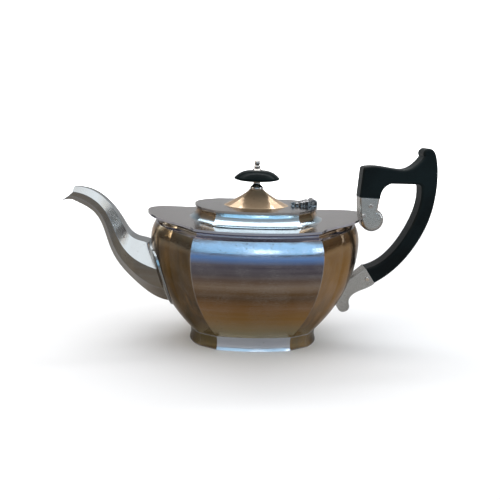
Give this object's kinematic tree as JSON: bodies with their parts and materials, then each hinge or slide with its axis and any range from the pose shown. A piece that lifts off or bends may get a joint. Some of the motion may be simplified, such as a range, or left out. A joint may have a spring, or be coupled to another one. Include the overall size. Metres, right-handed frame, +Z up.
{
  "type": "teapot",
  "caption": "Panelled silver teapot with a swept rim, a swan-neck spout, a hinged domed lid with a dark finial, and a dark scroll handle in metal sockets.",
  "frame": {"origin": "centre of the foot's underside, which is the resting face", "axes": "+Z up, +X towards the handle and -X towards the spout, +Y across the teapot"},
  "size_m": [0.2843, 0.123, 0.1535],
  "materials": {
    "base_plate": "polished silver plate, fine scratches and light tarnish",
    "body_shell": "polished silver plate, fine scratches and light tarnish",
    "finial_bud": "polished silver plate, fine scratches and light tarnish",
    "finial_cap": "black, high polish",
    "finial_nut": "plain steel",
    "finial_stem": "polished silver plate, fine scratches and light tarnish",
    "finial_stud": "plain steel",
    "finial_washer": "plain steel",
    "foot_ring": "polished silver plate, fine scratches and light tarnish",
    "handle_grip": "black ebonised grip, satin polish",
    "hinge_base": "polished silver plate, fine scratches and light tarnish",
    "hinge_bed": "polished silver plate, fine scratches and light tarnish",
    "hinge_leaf": "polished silver plate, fine scratches and light tarnish",
    "hinge_pin": "plain steel",
    "lid_bezel": "polished silver plate, fine scratches and light tarnish",
    "lid_dome": "polished silver plate, fine scratches and light tarnish",
    "lid_plate": "polished silver plate, fine scratches and light tarnish",
    "lid_surround": "polished silver plate, fine scratches and light tarnish",
    "lower_rivet": "polished silver plate, fine scratches and light tarnish",
    "lower_socket": "polished silver plate, fine scratches and light tarnish",
    "neck_cove": "polished silver plate, fine scratches and light tarnish",
    "rim_flange": "polished silver plate, fine scratches and light tarnish",
    "solder_beads": "polished silver plate, fine scratches and light tarnish",
    "spout": "polished silver plate, fine scratches and light tarnish",
    "spout_flange": "polished silver plate, fine scratches and light tarnish",
    "upper_rivet": "polished silver plate, fine scratches and light tarnish",
    "upper_socket": "polished silver plate, fine scratches and light tarnish"
  },
  "bodies": {
    "pot": {"base_plate": "base_plate", "body_shell": "body_shell", "foot_ring": "foot_ring", "handle_grip": "handle_grip", "hinge_base": "hinge_base", "hinge_bed": "hinge_bed", "hinge_pin": "hinge_pin", "lid_surround": "lid_surround", "lower_rivet": "lower_rivet", "lower_socket": "lower_socket", "neck_cove": "neck_cove", "rim_flange": "rim_flange", "solder_beads": "solder_beads", "spout": "spout", "spout_flange": "spout_flange", "upper_rivet": "upper_rivet", "upper_socket": "upper_socket"},
    "lid": {"hinge_leaf": "hinge_leaf", "lid_plate": "lid_plate", "lid_bezel": "lid_bezel", "lid_dome": "lid_dome", "finial_stem": "finial_stem", "finial_cap": "finial_cap", "finial_bud": "finial_bud", "finial_stud": "finial_stud", "finial_washer": "finial_washer", "finial_nut": "finial_nut"}
  },
  "joints": [
    {"name": "lid_hinge", "type": "hinge", "parent": "pot", "child": "lid", "pos_m": [0.043, 0, 0.11029], "axis": [0, 1, 0], "range_deg": [0, 100]}
  ]
}
